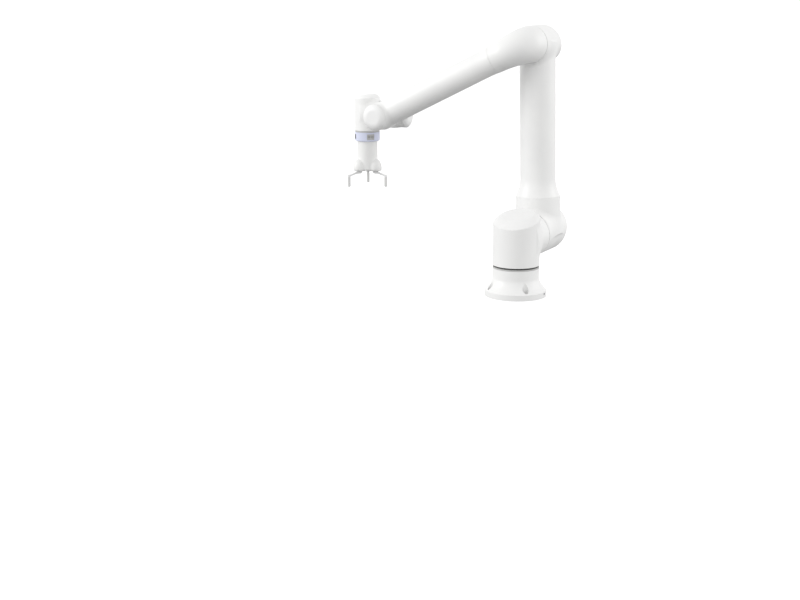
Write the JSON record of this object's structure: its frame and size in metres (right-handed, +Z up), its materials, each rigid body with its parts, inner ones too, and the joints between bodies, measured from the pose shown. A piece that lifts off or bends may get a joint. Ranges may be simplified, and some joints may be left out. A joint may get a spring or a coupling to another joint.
{
  "type": "collaborative robot arm",
  "caption": "Jointed robot arm on a round flanged base, with offset elbow casings, a hanging wrist and a gripper with bent fingers.",
  "frame": {"origin": "centre of the base flange underside", "axes": "+Z up along the base joint axis, -X the way the forearm reaches at rest, +Y the side that the upper arm is offset to"},
  "size_m": [0.9502, 0.4805, 1.0467],
  "materials": {
    "white_paint": "satin white powder coat",
    "cap_paint": "satin white moulded cover",
    "seal": "matt grey lip seal",
    "steel": "ground steel",
    "drive_alloy": "machined",
    "motor_can": "black coated can",
    "tool_ring": "satin pale lavender",
    "grey_plastic": "fine texture",
    "dark_plastic": "fine texture",
    "gripper_white": "satin white",
    "finger_metal": "light anodised",
    "tip_rubber": "pale moulded sleeve"
  },
  "bodies": {
    "base": {"base_housing": "white_paint", "base_connector": "dark_plastic", "earth_screw": "steel", "base_joint_seal_ring": "seal", "base_joint_reducer": "steel", "base_joint_motor": "motor_can"},
    "turret": {"base_joint_output_flange": "drive_alloy", "shoulder_casing": "white_paint", "shoulder_end_cap": "cap_paint", "shoulder_joint_seal_ring": "seal", "shoulder_joint_reducer": "steel", "shoulder_joint_motor": "motor_can"},
    "upper_arm": {"shoulder_joint_output_flange": "drive_alloy", "upper_arm_foot_casing": "white_paint", "upper_arm_foot_end_cap": "cap_paint", "upper_arm_link": "white_paint", "upper_arm_top_end_cap": "cap_paint", "elbow_joint_seal_ring": "seal", "elbow_joint_reducer": "steel", "elbow_joint_motor": "motor_can"},
    "forearm": {"elbow_joint_output_flange": "drive_alloy", "forearm_elbow_casing": "white_paint", "forearm_link": "white_paint", "forearm_end_cap": "cap_paint", "wrist_1_joint_seal_ring": "seal", "wrist_1_joint_reducer": "steel", "wrist_1_joint_motor": "motor_can"},
    "wrist_1": {"wrist_1_joint_output_flange": "drive_alloy", "wrist_1_casing": "white_paint", "wrist_1_end_cap": "cap_paint", "wrist_2_joint_seal_ring": "seal", "wrist_2_joint_reducer": "steel", "wrist_2_joint_motor": "motor_can"},
    "wrist_2": {"wrist_2_joint_output_flange": "drive_alloy", "wrist_2_casing": "white_paint", "wrist_2_end_cap": "cap_paint", "wrist_3_joint_seal_ring": "seal", "wrist_3_joint_reducer": "steel", "wrist_3_joint_motor": "motor_can"},
    "tool": {"wrist_3_joint_output_flange": "drive_alloy", "tool_flange": "tool_ring", "tool_panel": "grey_plastic", "tool_screws": "steel", "gripper_body": "gripper_white", "gripper_lower_cover": "gripper_white", "gripper_motor": "motor_can"},
    "free_drive_button": {"free_drive_button": "dark_plastic"},
    "gripper_drive_gear": {"gripper_sun_gear": "steel"},
    "finger_1": {"finger_1_arm": "finger_metal", "finger_1_pinion": "steel", "finger_1_tip": "tip_rubber"},
    "finger_2": {"finger_2_arm": "finger_metal", "finger_2_pinion": "steel", "finger_2_tip": "tip_rubber"},
    "finger_3": {"finger_3_arm": "finger_metal", "finger_3_pinion": "steel", "finger_3_tip": "tip_rubber"}
  },
  "joints": [
    {"name": "base_turn", "type": "hinge", "parent": "base", "child": "turret", "pos_m": [0, 0, 0.111], "axis": [0, 0, 1], "range_deg": [-360, 360]},
    {"name": "shoulder_turn", "type": "hinge", "parent": "turret", "child": "upper_arm", "pos_m": [0, 0.223, 0.222], "axis": [0, 1, 0], "range_deg": [-125, 125]},
    {"name": "elbow_turn", "type": "hinge", "parent": "upper_arm", "child": "forearm", "pos_m": [-0.02034, 0.223, 0.97372], "axis": [0, 1, 0], "range_deg": [-28, 257]},
    {"name": "wrist_1_turn", "type": "hinge", "parent": "forearm", "child": "wrist_1", "pos_m": [-0.64194, 0.066, 0.6719], "axis": [0, 1, 0], "range_deg": [-105, 175]},
    {"name": "wrist_2_turn", "type": "hinge", "parent": "wrist_1", "child": "wrist_2", "pos_m": [-0.64194, 0.178, 0.6719], "axis": [-1, 0, 0], "range_deg": [-360, 360]},
    {"name": "wrist_3_turn", "type": "hinge", "parent": "wrist_2", "child": "tool", "pos_m": [-0.77094, 0.178, 0.6719], "axis": [0, 0, -1], "range_deg": [-360, 360]},
    {"name": "free_drive_press", "type": "slide", "parent": "tool", "child": "free_drive_button", "axis": [0.7071, 0.7071, 0], "range_m": [0, 0.0015], "stiffness_N_per_m": 800, "springref_m": -0.001},
    {"name": "finger_1_swing", "type": "hinge", "parent": "tool", "child": "finger_1", "pos_m": [-0.78878, 0.21155, 0.4269], "axis": [0, 0, -1], "range_deg": [0, 155]},
    {"name": "finger_2_swing", "type": "hinge", "parent": "tool", "child": "finger_2", "pos_m": [-0.73296, 0.17667, 0.4269], "axis": [0, 0, -1], "range_deg": [0, 155]},
    {"name": "finger_3_swing", "type": "hinge", "parent": "tool", "child": "finger_3", "pos_m": [-0.79107, 0.14577, 0.4269], "axis": [0, 0, -1], "range_deg": [0, 155]},
    {"name": "gripper_drive_spin", "type": "hinge", "parent": "tool", "child": "gripper_drive_gear", "pos_m": [-0.77094, 0.178, 0.5549], "axis": [0, 0, -1], "range_deg": [-66, 0]}
  ],
  "couplings": [
    {"joint": "finger_2_swing", "follows": "finger_1_swing", "ratio": 1},
    {"joint": "finger_3_swing", "follows": "finger_1_swing", "ratio": 1},
    {"joint": "gripper_drive_spin", "follows": "finger_1_swing", "ratio": -0.42105}
  ]
}
